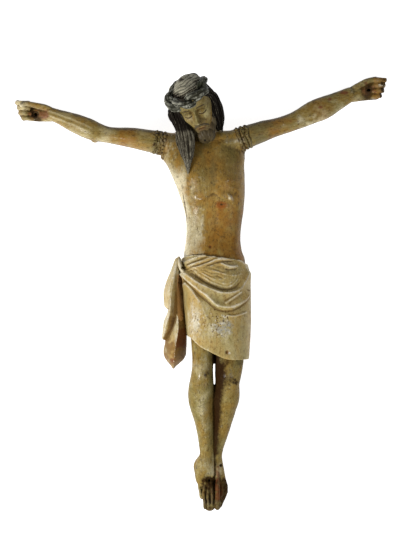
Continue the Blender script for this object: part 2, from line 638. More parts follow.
# The face: carved from the same block, calm and with closed eyes, on the plain proportions of a drawing book.
# It was gessoed and painted paler than the body, with thin brown lines for the brows and the lashes.
skull_at = through([
    [-53, 7, 10, 30], [-47, 14, 2, 37], [-38, 20, -10, 39], [-26, 26, -24, 39], [-10, 31, -36, 39],
    [6, 34, -42, 38], [18, 34.5, -44, 42], [32, 33, -42, 39], [44, 25, -34, 28], [51, 13, -18, 13]])
nose_at = through([[18, 0.6, 4.5], [9, 2.2, 3.4], [2, 5.0, 3.6], [-5, 8.4, 4.2], [-11, 11.6, 5.2],
                   [-14.5, 11.8, 5.6], [-17, 7.0, 5.4], [-19, 1.2, 4.5], [-24, 0.0, 4]])


def face_forms(x, y):
    """Heights on the front of the upright head: sockets, closed lids, brows, nose, cheeks, lips and chin,
    each a soft hill or hollow about its own middle, the same on both sides."""
    side = np.abs(x)
    rise, width = np.moveaxis(nose_at(y), -1, 0)
    lid_low = -1.6 + 0.04 * (side - 14) ** 2
    lid_high = 6.0 - 0.045 * (side - 13) ** 2
    brow = 13.2 - 0.022 * (side - 12) ** 2
    lips = ramp(-side, -10.5, -5)
    return (
        rise * np.exp(-(side / width) ** 2.4)
        + 3.6 * bump(side - 5.6, 2.3) * bump(y + 13, 2.8) - 1.6 * bump(side - 3, 1.3) * bump(y + 17.2, 1.3)
        - 4.6 * bump(side - 14, 8) * bump(y - 4.5, 7) - 2.2 * bump(side - 7, 3.5) * bump(y - 5, 5)
        + 4.4 * np.exp(-(((side - 14) / 7.6) ** 2 + ((y - 2.4) / 4.6) ** 2) ** 1.4)
        - 0.9 * bump(y - lid_low, 0.75) * ramp(-np.abs(side - 14), -8.5, -6)
        - 0.8 * bump(y - lid_high, 0.7) * ramp(-np.abs(side - 13.5), -8.5, -6)
        + 2.0 * bump(y - brow, 3.0) * ramp(side, 4, 9) * ramp(-side, -27, -19)
        + 2.2 * bump(side - 20, 8) * bump(y + 7, 7) - 2.4 * bump(side - 18, 7) * bump(y + 23, 9)
        + 2.6 * bump(x, 14) * bump(y + 26, 9) - 0.9 * bump(x, 1.8) * ramp(y, -24, -22) * ramp(-y, 16, 19)
        + 1.7 * bump(y + 24.6 + 0.018 * x ** 2, 1.8) * lips + 2.0 * bump(y + 30.2 - 0.02 * x ** 2, 2.1) * lips
        - 1.9 * bump(y + 27.2 + 0.012 * x ** 2, 0.85) * lips - 1.2 * bump(y + 34.5, 2.2) * bump(x, 7)
        + 3.0 * bump(x, 9) * bump(y + 43, 6) + 1.0 * bump(x, 20) * bump(y - 28, 12))


y = np.linspace(-53, 51, 210)[:, None]
angle = np.linspace(0, 2 * np.pi, 320, endpoint=False)[None]
half, back, front = np.moveaxis(skull_at(y[:, 0]), -1, 0)[..., None]
under_hair = ramp(y, 30, 44)
front = front - 14 * under_hair
half = half - 5 * under_hair
x = half * power(np.cos(angle), squareness)
z = (back + front) / 2 + (front - back) / 2 * power(np.sin(angle), squareness)
z = z + ramp(np.sin(angle), 0.05, 0.5) * face_forms(x, y)
x, z = x * (1 - 0.2 * ramp(-z, -8, 8)), np.where(z < 0, 0.8 * z, z)
places, faces = shell(np.stack(np.broadcast_arrays(x, y, z), -1))
face = Net(*carved([(places @ head_turned.T + head_place, faces)], 0.62))
face.soften(2)
x, y, z = ((face.points - head_place) @ head_turned).T
face.raise_by(0.5 * tool_marks(face.points))
side = np.abs(x)
brow_line = bump(y - (14.5 - 0.022 * (side - 12) ** 2), 1.6) * ramp(side, 5, 8) * ramp(-side, -25, -20)
lash_line = 1.2 * bump(y - (-1.9 + 0.04 * (side - 14) ** 2), 1.5) * ramp(-np.abs(side - 14), -8.5, -6.5)
fold_line = 0.8 * bump(y - (6.3 - 0.045 * (side - 13) ** 2), 0.7) * ramp(-np.abs(side - 13.5), -8, -6)
stubble = ramp(-y, 20, 36) * ramp(z, 0, 20) + bump(y + 19.5, 2.5) * ramp(-side, -16, -8)
face_paint = old_paint(
    "face paint", (0.185, 0.115, 0.026), (0.125, 0.106, 0.034), (0.33, 0.265, 0.10), (0.50, 0.44, 0.23),
    flesh_dirt, gloss=0.4, flaked=0.2, wear=0.45, sooty=1.0,
    extra=[("lips", (0.13, 0.045, 0.022), 0.6), ("stubble", (0.10, 0.07, 0.035), 0.75),
           ("shade", (0.055, 0.038, 0.010), 0.7), ("lines", (0.030, 0.018, 0.008), 0.9)])
finish_piece(
    "face", face, "body", face_paint, triangles=100000,
    pale=0.1 + spots(side, y, (0.3, 18, -6, 9, 8), (0.35, 0, 26, 18, 9)),
    shade=0.6 * ramp(side, 24, 33)
    + spots(side, y, (0.75, 8, 6.5, 4.5, 5.5), (0.7, 0, -21, 9, 2), (0.6, 12, -12, 3, 8)),
    lips=bump(y + 27.4, 4.2) * ramp(-side, -10, -7), stubble=0.9 * np.clip(stubble, 0, 1),
    lines=np.clip(brow_line + lash_line + fold_line, 0, 1) * ramp(z, 10, 20) + ramp(y, 28, 32))


# Hair and beard: long wavy locks cut with a narrow gouge, one groove beside another, stained almost black.
# They part on the crown of the head and fall on both shoulders; those over the right breast end in a point.
def lock(points, width, depth, flutes=9, groove=1.5, turns=0.35):
    """A tapering lock of hair with gouged strands that wind a little round it."""
    return member(points, [[0, width * 0.7, depth * 0.7], [0.4, width, depth],
                           [0.8, width * 0.7, depth * 0.8], [1, width * 0.15, depth * 0.3]],
                  sides=14 * flutes, steps=110, flutes=flutes, groove=groove, turns=turns)


polar = np.linspace(0.02, np.pi - 0.02, 120)[:, None]
angle = np.linspace(0, 2 * np.pi, 420, endpoint=False)[None]
strand = 1 - 0.05 * (1 - gouged(17 * angle + 2.2 * np.sin(2 * polar), 0.55)) * ramp(polar, 0.05, 0.4)
cap = np.stack(np.broadcast_arrays(35.5 * np.sin(polar) * np.cos(angle) * strand, 42 * np.cos(polar),
                                   45 * np.sin(polar) * np.sin(angle) * strand), -1)
cap_points, cap_faces = shell(cap)
cap_block = ((cap_points * (0.955, 1, 1) + (-2.5, 14.5, -9)) @ head_turned.T + head_place, cap_faces)
nape = member([on_head(0, 10, -24), on_head(2, -30, -26), (-12, 142, 36)],
              [[0, 30, 22], [0.5, 30, 20], [1, 26, 16]], sides=300, steps=90, flutes=24, groove=1.5)
# Each lock: its root on the upright head, the places it falls through, its width and depth, and how far the
# strands turn where they are the fine ones over the breast.
breast_locks = [lock([on_head(*root), *way], width, depth, 5, 1.3, turns)
                for root, way, width, depth, turns in (
    ((-36, 21, 4), [(-75, 188, 66), (-63, 158, 74), (-56, 118, 81), (-47, 82, 86)], 6, 9, 0.5),
    ((-33, 20, 8), [(-66, 182, 72), (-57, 154, 80), (-52, 114, 87), (-46, 74, 87)], 6, 8, 0.3),
    ((-33, 18, 14), [(-60, 180, 78), (-50, 150, 86), (-47, 112, 91), (-45, 76, 88)], 6, 8, 0.5),
    ((-30, 14, 22), [(-56, 178, 82), (-44, 150, 88), (-42, 112, 90), (-44, 78, 88)], 6, 8, 0.3),
    ((-28, 4, 22), [(-50, 170, 84), (-38, 144, 88), (-38, 114, 88), (-43, 86, 87)], 5, 8, 0.5))]
other_locks = [lock([on_head(*root), *way], width, depth) for root, way, width, depth in (
    ((-36, 17, -8), [(-76.5, 186, 58), (-66, 162, 60), (-61, 140, 60)], 7, 11),
    ((-20, -14, 2), [(-56, 146, 62), (-52, 116, 66), (-47, 90, 76)], 13, 14),
    ((23, 33, 28), [(-9, 211, 93), (-1, 184, 88), (10, 156, 72)], 7, 8),
    ((26, 32, 24), [(-4, 212, 90), (5, 186, 84), (13, 156, 66)], 8, 9),
    ((30, 30, 10), [(1, 216, 78), (12, 188, 74), (17, 152, 56)], 8, 11),
    ((30, 24, -4), [(2, 212, 62), (14, 186, 58), (16, 160, 50)], 9, 12))]
hair = Net(*carved([cap_block, nape, *breast_locks, *other_locks], 0.8))
hair.soften(1)
x, y, z = hair.points.T
up = ((hair.points - head_place) @ head_turned)[:, 1]
on_top = ramp(up, 32, 42) * ramp(hair.outward()[:, 2], 0.05, 0.4)
hair.points = hair.points + 5.0 * ramp(up, 26, 44)[:, None] * (0.05, 0.1, 0.8)
# Combed lines: across the crown of the head, down the pointed locks, and down the locks at the other cheek.
gouge, fine_gouge = 4.8, 3.3
across_crown = 0.87 * y - 0.5 * x + 0.006 * (x + 47) ** 2 + 5 * noise(hair.points, 22, 33)
combed = 2.4 * (gouged(np.pi * across_crown / gouge) - 0.7) * on_top
combed += 2.4 * noise(hair.points, 11, 50) * on_top
off_lock, down_lock = beside_line(x, y, [(-72, 204), (-64, 172), (-53, 126), (-45.5, 74)])
strand_at = off_lock / (1.12 - down_lock) + 0.8 * noise(hair.points, 20, 36)
combed += 1.1 * (gouged(np.pi * strand_at / fine_gouge) - 1) * ramp(-x, 22, 28) * ramp(-y, -196, -188)
off_lock, down_lock = beside_line(x, y, [(-2, 230), (12, 204), (17, 180), (18, 152)])
combed += 1.1 * (gouged(np.pi * off_lock / fine_gouge) - 1) * ramp(x, -12, -6) * ramp(-up, -32, -24)
hair.raise_by(0.4 * tool_marks(hair.points) + combed)
hair_stain = old_paint(
    "hair stain", (0.016, 0.010, 0.005), (0.022, 0.018, 0.011), (0.050, 0.042, 0.026), (0.24, 0.22, 0.16),
    (0.003, 0.002, 0.001), gloss=0.5, crackle=0.1, wear=0.9, seed=1.3, sheen=0.07, flaked=0.1,
    extra=[("grime", (0.34, 0.325, 0.245), 0.75), ("soot", (0.005, 0.003, 0.002), 0.9)])
x, y, z = hair.points.T
finish_piece(
    "hair", hair, "body", hair_stain, triangles=165000,
    pale=0.3 * ramp(-y, -110, -85) + 0.55 * ramp(up, 34, 44) - 0.1,
    grime=(0.75 + 1.2 * noise(hair.points, 9, 44)) * ramp(up, 38, 46) * ramp(-x, 22, 34)
    * (0.4 + 0.6 * ramp(z, 60, 90)) + 0.45 * ramp(-y, -122, -88) + 0.3 * ramp(x, -22, 4) * ramp(y, 178, 200),
    soot=(0.6 * ramp(x, -45, 0) + 1.2 * ramp(y, 142, 164)) * ramp(-up, -30, -10)
    + ramp(-up, -42, -36) * ramp(up, 14, 22))

beard_locks = [lock([on_head(*place) for place in way], *cut) for way, cut in (
    ([(0, -29, 31), (0, -46, 35), (0, -63, 30)], (11, 9, 8, 0.9, 0.1)),
    ([(-5, -34, 30), (-6, -48, 33), (-4, -64, 30)], (11, 10, 8, 0.9)),
    ([(5, -34, 30), (7, -48, 33), (5, -63, 30)], (11, 10, 8, 0.9, -0.35)),
    ([(-22, -10, 14), (-21, -30, 20), (-10, -52, 27)], (7, 9, 7, 0.8)),
    ([(22, -10, 14), (21, -30, 20), (10, -52, 27)], (7, 9, 7, 0.8, -0.35)),
    ([(-15, -26, 24), (-14, -38, 28), (-5, -58, 30)], (8, 8, 7, 0.8)),
    ([(15, -26, 24), (14, -38, 28), (6, -58, 30)], (8, 8, 7, 0.8, -0.35)),
    ([(-1, -21, 41), (-9, -24, 37), (-15, -32, 31)], (3, 3, 5, 0.6)),
    ([(1, -21, 41), (9, -24, 37), (15, -32, 31)], (3, 3, 5, 0.6)))]
beard = Net(*carved(beard_locks, 0.6))
beard.soften(1)
beard.raise_by(0.3 * tool_marks(beard.points))
beard_stain = old_paint(
    "beard stain", (0.050, 0.033, 0.013), (0.056, 0.045, 0.022), (0.090, 0.070, 0.034), (0.16, 0.13, 0.075),
    (0.012, 0.008, 0.004), gloss=0.45, crackle=0.1, wear=0.6, seed=2.1, flaked=0.1,
    extra=[("soot", (0.004, 0.003, 0.002), 0.95)])
x, y, z = beard.points.T
finish_piece("beard", beard, "body", beard_stain, triangles=42000, soot=spots(x, y, (1.2, -14.6, 135.5, 2.2)))


# The crown: thick stems twisted about each other into a ring, carved with the head and stained a dark grey
# green. It sits back on the hair and leans to one side, and short stubs of thorns stand out of it.
crown_turned = turned(34, 27)
crown_place = np.array([-47.2, 223.2, 86])
ring_wide, ring_deep = 33, 37.5


def stem(start, radius, twists):
    """One stem of the ring: a fluted tube whose middle winds round the oval ring."""
    steps, sides = 460, 52
    round_ring = np.linspace(0, 2 * np.pi, steps, endpoint=False)
    twist = twists * round_ring + start
    out = radius * 0.85 * np.cos(twist)
    centre = np.stack([(ring_wide + out) * np.cos(round_ring), radius * 0.85 * np.sin(twist),
                       (ring_deep + out) * np.sin(round_ring)], -1)
    way = np.roll(centre, -1, 0) - np.roll(centre, 1, 0)
    way /= np.linalg.norm(way, axis=1, keepdims=True)
    deep = np.array([0, 1.0, 0]) - way * way[:, 1:2]
    deep /= np.linalg.norm(deep, axis=1, keepdims=True)
    wide = np.cross(deep, way)
    angle = np.linspace(0, 2 * np.pi, sides, endpoint=False)[None]
    bark = 1.8 * (gouged(2.5 * angle + 3 * round_ring[:, None] + start, 0.55) - 1)
    knot = 0.5 * bump((round_ring * 3.1 + start) % 1.9 - 0.9, 0.12)[:, None]
    reach = radius + bark + knot
    rings = centre[:, None] + wide[:, None] * (reach * np.cos(angle))[..., None] + (
        deep[:, None] * (reach * np.sin(angle))[..., None])
    index = np.arange(steps * sides).reshape(steps, sides)
    right, up = np.roll(index, -1, 1), np.roll(index, -1, 0)
    quads = np.stack([index, right, np.roll(right, -1, 0), up], -1).reshape(-1, 4)
    return rings.reshape(-1, 3) @ crown_turned.T + crown_place, quads


def thorn(share, tilt, length):
    """A short pointed stub that stands out of the ring at a share of the way round it."""
    a = 2 * math.pi * share
    foot = np.array([(ring_wide + 1.5) * math.cos(a), 0, (ring_deep + 1.5) * math.sin(a)])
    out = np.array([math.cos(a) * math.cos(tilt), math.sin(tilt), math.sin(a) * math.cos(tilt)])
    line = [foot + out * reach for reach in (6, 9, 9 + length)]
    return member([p @ crown_turned.T + crown_place for p in line],
                  [[0, 2.2, 2.2], [0.4, 1.6, 1.6], [1, 0.5, 0.5]], sides=10, steps=8)


thorns = [thorn(*cut) for cut in (
    (0.04, 0.5, 4), (0.13, -0.6, 3), (0.2, 0.9, 4), (0.29, -0.3, 4), (0.36, 0.6, 3), (0.45, -0.5, 3.5),
    (0.52, 0.7, 4), (0.7, 0.4, 4), (0.85, 0.6, 3.5))]
crown = Net(*carved([stem(0.3, 7.0, 3), stem(3.4, 7.2, 3), stem(1.9, 5.5, -2), *thorns], 0.75))
crown.raise_by(tool_marks(crown.points) + 2.2 * noise(crown.points, 13, 41))
crown_stain = old_paint(
    "crown stain", (0.022, 0.021, 0.011), (0.032, 0.032, 0.022), (0.085, 0.085, 0.062), (0.44, 0.44, 0.36),
    (0.004, 0.004, 0.002), gloss=0.42, crackle=0.1, wear=0.8, seed=3.7, sooty=1.0, sheen=0.08, flaked=0.2,
    extra=[("moss", (0.016, 0.018, 0.008), 0.85)])
x, y, z = crown.points.T
finish_piece("crown", crown, "body", crown_stain, triangles=76000, pale=0.4 * ramp(-x, 55, 80) - 0.26,
             moss=1.1 * ramp(x, -58, -30) * ramp(y, 215, 235))


# The loincloth: a cloth wound low round the hips, carved in one with the body and open below. Its folds fan
# out from a knot on the right hip, where the loose end hangs down in pleats. It was painted cream.
cloth_at = through([  # the height up the body, then the cloth's left edge, right edge, back and front
    [-78, -58, 60, -2, 80], [-92, -60, 64, -4, 85], [-110, -58, 68, -5, 91], [-135, -55, 69, -5, 97],
    [-165, -53, 69.5, -4, 102], [-195, -50, 69.5, 2, 106], [-222, -47, 68.5, 10, 110],
    [-250, -44, 66.5, 18, 112], [-270, -42, 65, 22, 113]])
cloth_top = through([[-58, -86], [-50, -78], [-30, -73], [0, -75], [30, -79], [50, -81], [70, -90]])
cloth_hem = through([[-55, -221], [-46, -225], [-30, -240], [-4, -252.6], [20, -262], [40, -264.7],
                     [70, -263.6]])
cloth_squareness = 0.84


def skirt_ring(share, inset=0.0, lift=0.0):
    """Rings of the skirt at shares of the way from its top line to its hem, drawn in by inset and raised by
    lift."""
    share = np.atleast_1d(share)[:, None]
    angle = np.linspace(0, 2 * np.pi, 420, endpoint=False)[None]
    wide, deep = power(np.cos(angle), cloth_squareness), power(np.sin(angle), cloth_squareness)
    near_left, near_right = cloth_at(-180.0)[:2]
    guess = (near_left + near_right) / 2 + (near_right - near_left) / 2 * wide
    y = (1 - share) * cloth_top(guess)[..., 0] + share * cloth_hem(guess)[..., 0]
    left, right, back, front = np.moveaxis(cloth_at(y), -1, 0)
    x = (left + right) / 2 + ((right - left) / 2 - inset) * wide
    z = (back + front) / 2 + ((front - back) / 2 - inset) * deep
    return np.stack([x, y + lift, z], -1)


skirt = shell(np.concatenate([
    skirt_ring(0.0, 8, -6), skirt_ring(0.0, 3, -1), skirt_ring(np.linspace(0, 1, 170)),
    skirt_ring(1.0, 5), skirt_ring(1.0, 7, 14)]))
# Each fold: its line over the front, its rise, its width on either hand, and how soon its ends fade.
folds = [
    ([(-54.9, -89.7), (-42.1, -82.9), (-29.3, -77.8), (-12.8, -73.2), (5.5, -70.5)],
      3.2, 3.0, 3.4, 0.05, 0.3),
    ([(-50.3, -92.1), (-36.6, -86.0), (-20.1, -80.2), (-7.3, -74.7)], -2.4, 1.5, 1.5, 0.1, 0.3),
    ([(-49.4, -94.8), (-31.1, -88.2), (-14.6, -82.4), (1.8, -76.9), (16.5, -73.2)], 2.8, 2.4, 2.8, 0.1, 0.3),
    ([(-45.8, -97.0), (-23.8, -90.8), (-5.5, -83.8), (7.3, -79.1)], -2.0, 1.4, 1.4, 0.15, 0.3),
    ([(-45.8, -98.5), (-23.8, -93.7), (-9.2, -87.9), (5.5, -82.4), (18.3, -79.6), (33.0, -80.0)],
      3.0, 2.6, 4.0, 0.15, 0.2),
    ([(-18.3, -96.7), (-5.5, -90.8), (5.5, -87.1), (20.1, -84.6), (42.1, -83.8)], -2.6, 2.2, 1.8, 0.2, 0.2),
    ([(11.0, -86.6), (23.8, -92.5), (34.8, -94.8), (47.6, -93.4)], 3.2, 2.2, 2.4, 0.2, 0.2),
    ([(20.1, -98.7), (33.0, -99.2), (45.8, -98.1)], -2.2, 1.6, 1.6, 0.2, 0.2),
    ([(-12.8, -100.7), (1.8, -102.5), (16.5, -107.1), (31.1, -110.8), (45.8, -109.8), (56.8, -100.7)],
      1.3, 2.6, 3.4, 0.2, 0.2),
    ([(-7.3, -111.7), (5.5, -118.1), (16.5, -117.2), (33.0, -112.6)], 1.0, 2.4, 3.0, 0.3, 0.3),
    ([(42.1, -81.5), (51.3, -86.0), (58.6, -95.2), (63.2, -106.2)], 2.4, 3.0, 3.0, 0.2, 0.1),
    ([(-58.6, -98.9), (-47.6, -106.2), (-39.4, -113.5), (-25.6, -124.5), (-12.8, -130.9), (3.7, -137.9),
      (16.5, -141.9), (31.1, -142.2), (43.9, -138.2), (51.3, -131.8), (56.8, -122.7), (61.3, -111.7),
      (64.1, -100.7)], 5.6, 3.0, 9.0, 0.02, 0.05),
    ([(-40.3, -105.3), (-25.6, -115.9), (-12.8, -124.1), (0.0, -130.5), (12.8, -135.1), (27.5, -136.0),
      (40.3, -132.2), (47.6, -124.5), (52.2, -113.5)], -3.2, 6.0, 2.6, 0.2, 0.2),
    ([(-56.8, -105.3), (-49.4, -115.3), (-36.6, -128.1), (-23.8, -138.8), (-11.0, -148.3),
      (-3.7, -155.6), (4.6, -163.8), (16.5, -168.4), (34.8, -168.4), (49.4, -162.0), (60.4, -152.9),
      (66.8, -139.1)], 5.6, 8.5, 2.6, 0.03, 0.05),
    ([(-53.1, -114.4), (-46.7, -121.7), (-36.6, -132.7), (-27.5, -142.8), (-18.3, -151.0),
      (-9.2, -158.4), (0.0, -167.1), (11.0, -173.4), (31.1, -174.8), (49.4, -167.9), (62.2, -157.4)],
      -2.8, 2.0, 4.0, 0.05, 0.15),
    ([(-52.2, -120.8), (-43.9, -130.0), (-36.6, -138.2), (-31.1, -146.5), (-25.6, -154.7),
      (-19.2, -162.9)], 4.0, 2.4, 9.0, 0.1, 0.3),
    ([(-34, -140), (-26, -156), (-16, -176), (-6, -200), (2, -226)], 1.6, 4.0, 8.0, 0.25, 0.5),
    ([(20.1, -162.9), (31.1, -155.1), (43.9, -145.9), (52.2, -139.1)], 2.8, 1.7, 2.6, 0.12, 0.2),
    ([(22.0, -183.1), (38.4, -184.5), (49.4, -181.6), (63.2, -176.7)], 2.4, 1.5, 2.2, 0.15, 0.15)]


def pleat(points, sections, upright=(0, 0, 1)):
    """A strip of cloth with a sharp ridge down its middle, which faces the way upright says."""
    return member(points, sections, sides=64, steps=70, keel=1.75, upright=upright)


# The loose end: the twist that leaves the knot, three pleats side by side, and the wood behind them.
tail = [
    member([(-62, -80, 58), (-60.5, -90, 66), (-58, -99, 72)], [[0, 3, 7], [0.5, 4, 9], [1, 3.5, 5]]),
    pleat([(-66, -82, 58), (-73, -110, 57), (-79, -137, 55), (-80, -163, 53)],
          [[0, 4, 10], [0.3, 7, 17], [0.7, 11, 21], [1, 10, 17]]),
    pleat([(-63, -86, 62), (-67.5, -112, 64), (-71.5, -140, 62), (-74, -180, 58), (-80, -200, 52),
           (-89, -224, 44)],
          [[0, 3.5, 8], [0.3, 6, 14], [0.66, 10, 19], [0.82, 12, 18], [1, 5, 8]], (-0.35, 0, 1)),
    pleat([(-66, -130, 40), (-66, -170, 42), (-64, -205, 44), (-68.5, -238, 42), (-71, -262, 40),
           (-72.5, -279, 38)],
          [[0, 8, 16], [0.3, 11, 20], [0.5, 16, 24], [0.73, 20.5, 25], [0.87, 19.5, 22], [1, 3, 5]]),
    member([(-60, -100, 34), (-62, -150, 32), (-63, -200, 32), (-68, -240, 32), (-70, -256, 32)],
           [[0, 6, 12], [0.3, 13, 15], [0.6, 15, 14], [0.85, 13, 12], [1, 8, 8]])]
cloth = Net(*carved([skirt, *tail], 1.05))
cloth.soften(3)
x, y, z = cloth.points.T
way = cloth.outward()
on_front = ramp(way[:, 2], -0.15, 0.35) * ramp(x, -62, -54) * ramp(z - 40, 0, 20)
relief = 0.9 * tool_marks(cloth.points)
for line, rise, above, below, start, end in folds:
    off, share = beside_line(x, y, line)
    ends = ramp(share, -0.01, start) * ramp(1 - share, -0.01, end)
    wave = rise * (1 + 0.35 * noise(cloth.points, 16, 35))
    relief += on_front * ends * wave * np.exp(-np.abs(off / np.where(off > 0, above, below)) ** 1.35)
# Finer lines fan out from the knot, and others run beside the hollow of the great fold.
knot_x, knot_y = -47.6, -95
from_knot, fan = np.hypot(x - knot_x, y - knot_y), np.arctan2(y - knot_y, x - knot_x)
relief += on_front * 0.7 * (gouged(22 * fan + 4 * noise(cloth.points, 20, 31), 0.7) - 0.6) * (
    ramp(from_knot, 12, 30) * ramp(-from_knot, -115, -70) * ramp(fan, -0.75, -0.35) * ramp(y, -132, -112))
great_hollow = folds[-7][0]
off, _ = beside_line(x, y, great_hollow)
relief += on_front * 0.3 * np.cos(off / 0.9 + 4 * noise(cloth.points, 16, 45)) * ramp(off, 1, 4) * (
    ramp(-off, -22, -9))
# A hole beside the knot, a rusty pit at the hem, and plain waves on the back.
relief -= spots(x, y, (4, -55.8, -97.4, 2.6)) * ramp(z, 60, 66)
relief -= spots(x, y, (2.4, 25.4, -250.3, 2.6, 3.38)) * on_front
relief += 1.2 * ramp(-way[:, 2], 0.1, 0.6) * np.sin((y + 0.5 * x) / 8) * bump(y + 150, 60)
cloth.raise_by(relief)
cloth.soften(1)
cream = old_paint(
    "cream cloth paint", (0.39, 0.265, 0.086), (0.33, 0.272, 0.108), (0.50, 0.42, 0.22), (0.67, 0.64, 0.53),
    (0.105, 0.056, 0.011), gloss=0.38, wear=0.45, seed=5.2, sooty=0.75, flecks=0.6,
    extra=[("brown", (0.175, 0.090, 0.018), 0.9), ("umber", (0.60, 0.36, 0.15), 0.95),
           ("soot", (0.045, 0.018, 0.004), 0.9), ("grime", (0.36, 0.36, 0.31), 0.8),
           ("rust", (0.13, 0.035, 0.007), 0.85)])
# Brown dirt and rust lie in the gap beside the hanging end, on its facet towards the skirt and along its
# crease, and specks of dirt and flakes of paint are scattered over the skirt.
x, y, z = cloth.points.T
way = cloth.outward()
gap_off, gap_share = beside_line(x, y, [(-61.5, -104), (-61.5, -140), (-60.5, -188)])
gap = ramp(-np.abs(gap_off - 1), -6.5, -3.5) * ramp(-z, -76, -60) * ramp(gap_share, 0, 0.1)
facet = ramp(way[:, 0], 0.25, 0.7) * ramp(-x, 46, 50) * ramp(-y, 120, 190) * ramp(z, 0, 20)
crease_off, crease_share = beside_line(x, y, [(-72, -184), (-77, -204), (-87, -228)])
crease = ramp(crease_share, 0, 0.1) * ramp(z, 36, 44)
speckled = spots(x, y, (1, 14, -196, 26, 33.8), (0.7, -32, -196, 18, 25.2))
speckled *= ramp(way[:, 2], 0.2, 0.5) * ramp(x, -56, -48)
finish_piece(
    "loincloth", cloth, "body", cream, triangles=155000,
    sides=0.1 + 0.3 * ramp(x, 30, 60) - 0.9 * gap,
    rub=1 - 0.8 * ramp(y - cloth_hem(x)[..., 0], 6, 1) * (x > -52),
    pale=0.05 - 0.15 * ramp(x, 30, 60) + 0.25 * ramp(-x, 58, 66)
    + 0.6 * ramp(noise(cloth.points, 4.5, 59), 0.12, 0.28) * speckled
    + spots(x, y, (0.5, -34, -190, 12, 36), (0.3, 18, -207, 18), (0.9, 29.5, -252, 2.4),
            (0.5, 14, -80.2, 6, 3), (0.5, 35, -94.3, 6, 3)),
    shine=spots(x, y, (0.35, 25, -88, 34, 21.25), (0.25, -34, -170, 16, 60)),
    brown=1.05 * ramp(-x, 50, 58) * ramp(-y, 216, 240) * (0.75 + noise(cloth.points, 11, 55)) + 0.7 * facet
    + 0.85 * bump(crease_off, 6) * crease
    + 0.55 * ramp(x, -71.5, -69) * ramp(-x, 60, 64) * ramp(-y, 100, 112) * ramp(y, -196, -180)
    + 0.35 * ramp(x, 52, 66) * ramp(-y, 100, 140),
    grime=(0.6 + 1.4 * noise(cloth.points, 4.5, 21)) * spots(x, y, (0.95, 18, -207, 22.1, 17)),
    rust=spots(x, y, (1, 25.4, -250.3, 3.6)) + spots(x, y, (0.9, -74, -266, 6)) * ramp(z, 36, 44)
    + 0.8 * facet * ramp(-y, 196, 214) * ramp(y, -252, -236),
    umber=1.2 * gap,
    soot=0.5 * gap * ramp(y, -150, -120) + 0.3 * facet * ramp(-y, 176, 200)
    + 1.1 * ramp(noise(cloth.points, 3.2, 58), 0.12, 0.26) * speckled
    + 0.45 * bump(crease_off - 2, 5) * crease)


# Legs and feet: thin legs, knees forward and shins back to the cross. The right foot lies partly over the
# left one and a single nail went through both. The toes are long, with deep gaps between them.
legs_forms = [
    member([(3.5, -215, 62), (3.3, -250, 64), (2.5, -268, 64)], [[0, 8, 14], [0.7, 7, 12], [1, 5, 7]]),
    member([(-20, -190, 54), (-18, -250, 78), (-19.8, -292, 84), (-22.5, -335, 66), (-15.7, -385, 46),
            (-10, -448, 29)],
           [[0, 24, 30], [.238, 20.5, 27], [.33, 19.5, 25], [.392, 20.4, 24.5], [.475, 23.0, 25],
            [.564, 23, 24.5], [.65, 20, 22], [.76, 16.3, 19], [.893, 13.5, 15.5], [1, 13, 14]],
           sides=90, steps=140),
    member([(34, -190, 56), (30.5, -255, 79), (27, -296, 80), (23.6, -333, 62), (15.3, -385, 38),
            (6.2, -430, 25), (5, -450, 18)],
           [[0, 26, 30], [.249, 26.5, 27], [.33, 25.4, 25.5], [.397, 23.6, 24], [.44, 22.2, 24],
            [.546, 24.7, 25], [.63, 21.5, 22.5], [.755, 17.2, 19], [.86, 14, 15], [.925, 12, 14],
            [1, 11, 13]],
           sides=90, steps=140),
    member([(-18, -300, 98), (-18, -276, 98)], [[0, 6, 4], [0.5, 12.5, 8.5], [1, 6, 4]]),
    member([(28, -300, 94), (28, -276, 94)], [[0, 6, 4], [0.5, 12.5, 8.5], [1, 6, 4]])]
feet_forms = [
    member([(-11, -438, 29), (-15, -462, 31), (-15, -480, 29), (-14, -496, 22)],
           [[0, 13, 15], [.4, 17.5, 17], [.75, 17.5, 13], [1, 12, 7]]),
    member([(4.5, -442, 18), (7, -463, 17), (10, -481, 15), (13, -499, 10)],
           [[0, 11.5, 14], [.35, 12.5, 14], [.65, 12.8, 12], [1, 13, 7]]),
    member([(-20, -441, 26), (-28.5, -458, 22), (-27, -476, 22)], [[0, 5, 9], [0.5, 7, 11], [1, 6, 9]]),
    member([(-9, -450, 12), (-5, -476, 10), (-4, -498, 9)], [[0, 16, 13], [1, 13, 10]]),
    member([(-6, -480, 14), (-6, -505, 14), (-6, -535, 11)], [[0, 19, 12], [0.6, 14, 12], [1, 9.5, 8]]),
    member([(9, -476, 10), (14.5, -502, 9), (9.5, -532, 8)], [[0, 11, 9], [0.5, 12.8, 9], [1, 7.5, 6]])]
toes = [  # root, joint and tip of each toe, and its radius at the tip
    ((-26, -476, 28), (-24.5, -500, 23), (-20.5, -518, 17), 4.0),
    ((-12.6, -486, 38), (-17.0, -508, 32), (-14.2, -537, 17), 3.7),
    ((-7.6, -490, 39), (-9.8, -510, 34), (-7.6, -538, 20), 3.3),
    ((-4.4, -488, 38), (-2.2, -510, 33), (-1.4, -538, 20), 3.3),
    ((7, -462, 26), (7.8, -504, 27), (8.2, -536, 18), 6.4),
    ((14, -478, 20), (16.6, -506, 16), (14.4, -529, 11), 3.7),
    ((17, -482, 16), (22.0, -502, 12), (19.5, -520, 9), 3.7),
    ((19, -482, 13), (24.6, -497, 10), (23.8, -509, 8), 3.6)]
toe_forms = [member([root, joint, tip],
                    [[0, r * 0.9, r + 1], [0.3, r * 0.7, r * 0.9], [0.55, r * 0.8, r],
                     [0.75, r * 0.75, r * 0.9], [0.95, r, r * 0.95], [1, r * 0.85, r * 0.8]],
                    sides=28, steps=40)
             for root, joint, tip, r in toes]
